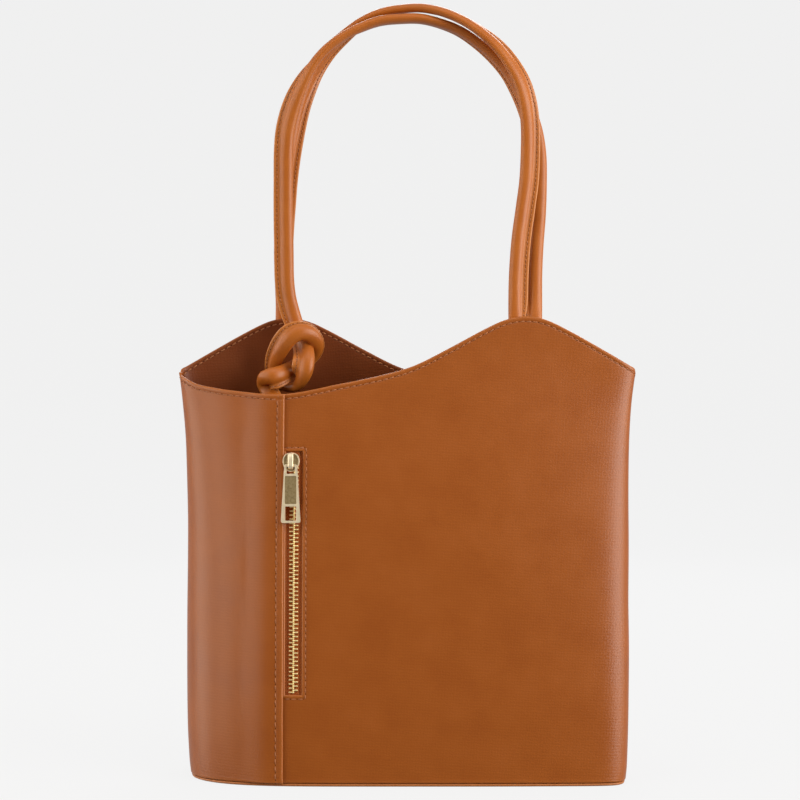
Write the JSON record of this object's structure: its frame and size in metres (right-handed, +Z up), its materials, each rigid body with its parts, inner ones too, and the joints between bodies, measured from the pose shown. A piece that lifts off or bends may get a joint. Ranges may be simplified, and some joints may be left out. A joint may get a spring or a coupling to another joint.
{
  "type": "convertible leather backpack",
  "caption": "Open-topped upright leather bag with swept rims, two stitched tube straps twisted into one tall arch, a knot in one strap, and a zipped front pocket.",
  "frame": {"origin": "centre of the base's underside, on the surface that the bag stands on", "axes": "+X to the bag's right as seen from the front, -Y towards the front face with the zip, +Z up"},
  "size_m": [0.3102, 0.0958, 0.5238],
  "materials": {
    "panel_leather": "satin",
    "base_leather": "satin",
    "strap_leather": "satin",
    "zip_tape": "matt",
    "zip_teeth": "polished",
    "zip_fitting": "satin"
  },
  "bodies": {
    "bag": {"front_panel": "panel_leather", "rear_panel": "panel_leather", "base_panel": "base_leather", "strap_knotted": "strap_leather", "strap_plain": "strap_leather", "zip_tape": "zip_tape", "zip_teeth_left": "zip_teeth", "zip_teeth_right": "zip_teeth", "zip_slider": "zip_fitting"},
    "zip_pull": {"zip_pull": "zip_fitting"}
  },
  "joints": [
    {"name": "pull_hinge", "type": "hinge", "parent": "bag", "child": "zip_pull", "pos_m": [-0.07649, -0.03576, 0.21081], "axis": [-0.9968, 0.0791, -0.0104], "range_deg": [0, 150]}
  ]
}
